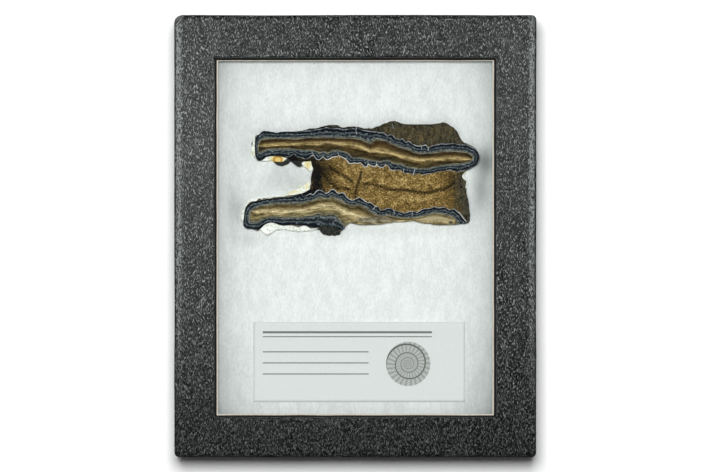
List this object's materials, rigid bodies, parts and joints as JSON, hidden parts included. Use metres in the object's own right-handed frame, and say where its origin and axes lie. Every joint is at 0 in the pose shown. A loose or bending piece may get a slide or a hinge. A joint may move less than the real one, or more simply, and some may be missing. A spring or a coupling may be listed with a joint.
{
  "type": "fossil mammoth molar slice in a display case",
  "caption": "Polished fossil molar slice with a label card, pressed under glass on white batting in a black covered display case.",
  "frame": {"origin": "middle of the rectangle that the case covers, at the height of the tray's underside", "axes": "+Z out through the glass, +Y up the long side towards the slice's end of the case, +X to the right as seen from the front"},
  "size_m": [0.1142, 0.1396, 0.0191],
  "materials": {
    "leatherette": "embossed leatherette over board",
    "clear_glass": "clear",
    "black_paper": "plain covered board",
    "white_batting": "loose white fibre",
    "polished_tooth": "cut and polished",
    "label_paper": "matt card"
  },
  "bodies": {
    "root": {"lid": "leatherette", "window_glass": "clear_glass", "tray": "black_paper", "batting": "white_batting", "tooth_slice": "polished_tooth", "label_card": "label_paper"}
  },
  "joints": []
}
